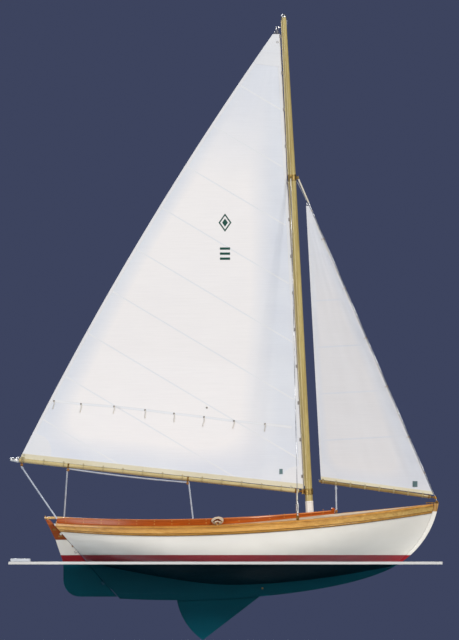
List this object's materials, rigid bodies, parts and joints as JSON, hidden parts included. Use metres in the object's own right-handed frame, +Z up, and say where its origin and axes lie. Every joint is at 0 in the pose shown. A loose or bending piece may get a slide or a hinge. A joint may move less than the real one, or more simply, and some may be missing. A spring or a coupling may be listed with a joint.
{
  "type": "sailboat model",
  "caption": "Display model of a small sloop-rigged daysailer with boomed sails, rudder, lifting centreboard and a clear waterline plate.",
  "frame": {"origin": "centre of the clear plate, at mid thickness, on the boat's waterline", "axes": "+X towards the bow, +Y to port, +Z up"},
  "size_m": [0.444, 0.204, 0.645],
  "materials": {
    "clear_plate": "clear, polished, with sanded edges",
    "tag_white": "frosted",
    "bottom_paint": "satin dark green paint",
    "white_paint": "satin white paint",
    "boot_paint": "satin red paint",
    "golden_varnish": "varnished",
    "brown_varnish": "varnished",
    "deck_canvas": "matt buff paint",
    "spar_wood": "varnished spruce",
    "sailcloth": "matt woven cloth",
    "bright_metal": "brushed",
    "bronze": "satin"
  },
  "bodies": {
    "hull": {"waterline_plate": "clear_plate", "plate_tag": "tag_white", "hull_bottom": "bottom_paint", "keel": "bottom_paint", "ballast_keel": "bottom_paint", "stem": "white_paint", "transom": "white_paint", "boot_top": "boot_paint", "topsides": "white_paint", "sheer_strake": "golden_varnish", "rub_rail": "golden_varnish", "deck": "deck_canvas", "coaming": "brown_varnish", "cockpit_sole": "golden_varnish", "benches": "brown_varnish", "bench_brackets": "brown_varnish", "bulkheads": "golden_varnish", "centreboard_trunk": "golden_varnish", "trunk_cap": "brown_varnish", "centreboard_pin": "bronze", "gudgeons": "bronze", "quarter_blocks": "bronze", "coaming_cleats": "bronze", "jib_sheet_block": "bronze", "mast": "spar_wood", "mast_coat": "white_paint", "mast_cap": "bright_metal", "gooseneck_band": "bronze", "hounds_band": "bronze", "forestay": "bright_metal", "shrouds": "bright_metal", "turnbuckles": "bright_metal", "chainplates": "bronze", "stemhead_fitting": "bronze"},
    "main_boom": {"boom": "spar_wood", "boom_jaw": "bronze", "boom_blocks": "bronze", "mainsail": "sailcloth", "headboard": "bright_metal", "sail_slides": "bronze"},
    "jib_boom": {"jib_boom": "spar_wood", "jib": "sailcloth", "jib_hanks": "bronze", "jib_tack_ring": "bronze"},
    "rudder": {"rudder_blade": "bottom_paint", "rudder_head": "brown_varnish", "pintle_rod": "bronze", "tiller": "golden_varnish"},
    "centreboard": {"centreboard": "bottom_paint"}
  },
  "joints": [
    {"name": "boom_swing", "type": "hinge", "parent": "hull", "child": "main_boom", "pos_m": [0.07964, 0, 0.0736], "axis": [-0.0497, 0, 0.9988], "range_deg": [-70, 70]},
    {"name": "jib_swing", "type": "hinge", "parent": "hull", "child": "jib_boom", "pos_m": [0.2175, 0, 0.064], "axis": [-0.3946, 0, 0.9189], "range_deg": [-50, 50]},
    {"name": "rudder_turn", "type": "hinge", "parent": "hull", "child": "rudder", "pos_m": [-0.14347, 0, 0], "axis": [-0.6613, 0, 0.7501], "range_deg": [-35, 35]},
    {"name": "centreboard_lift", "type": "hinge", "parent": "hull", "child": "centreboard", "pos_m": [0.038, 0, -0.026], "axis": [0, 1, 0], "range_deg": [0, 37]}
  ]
}
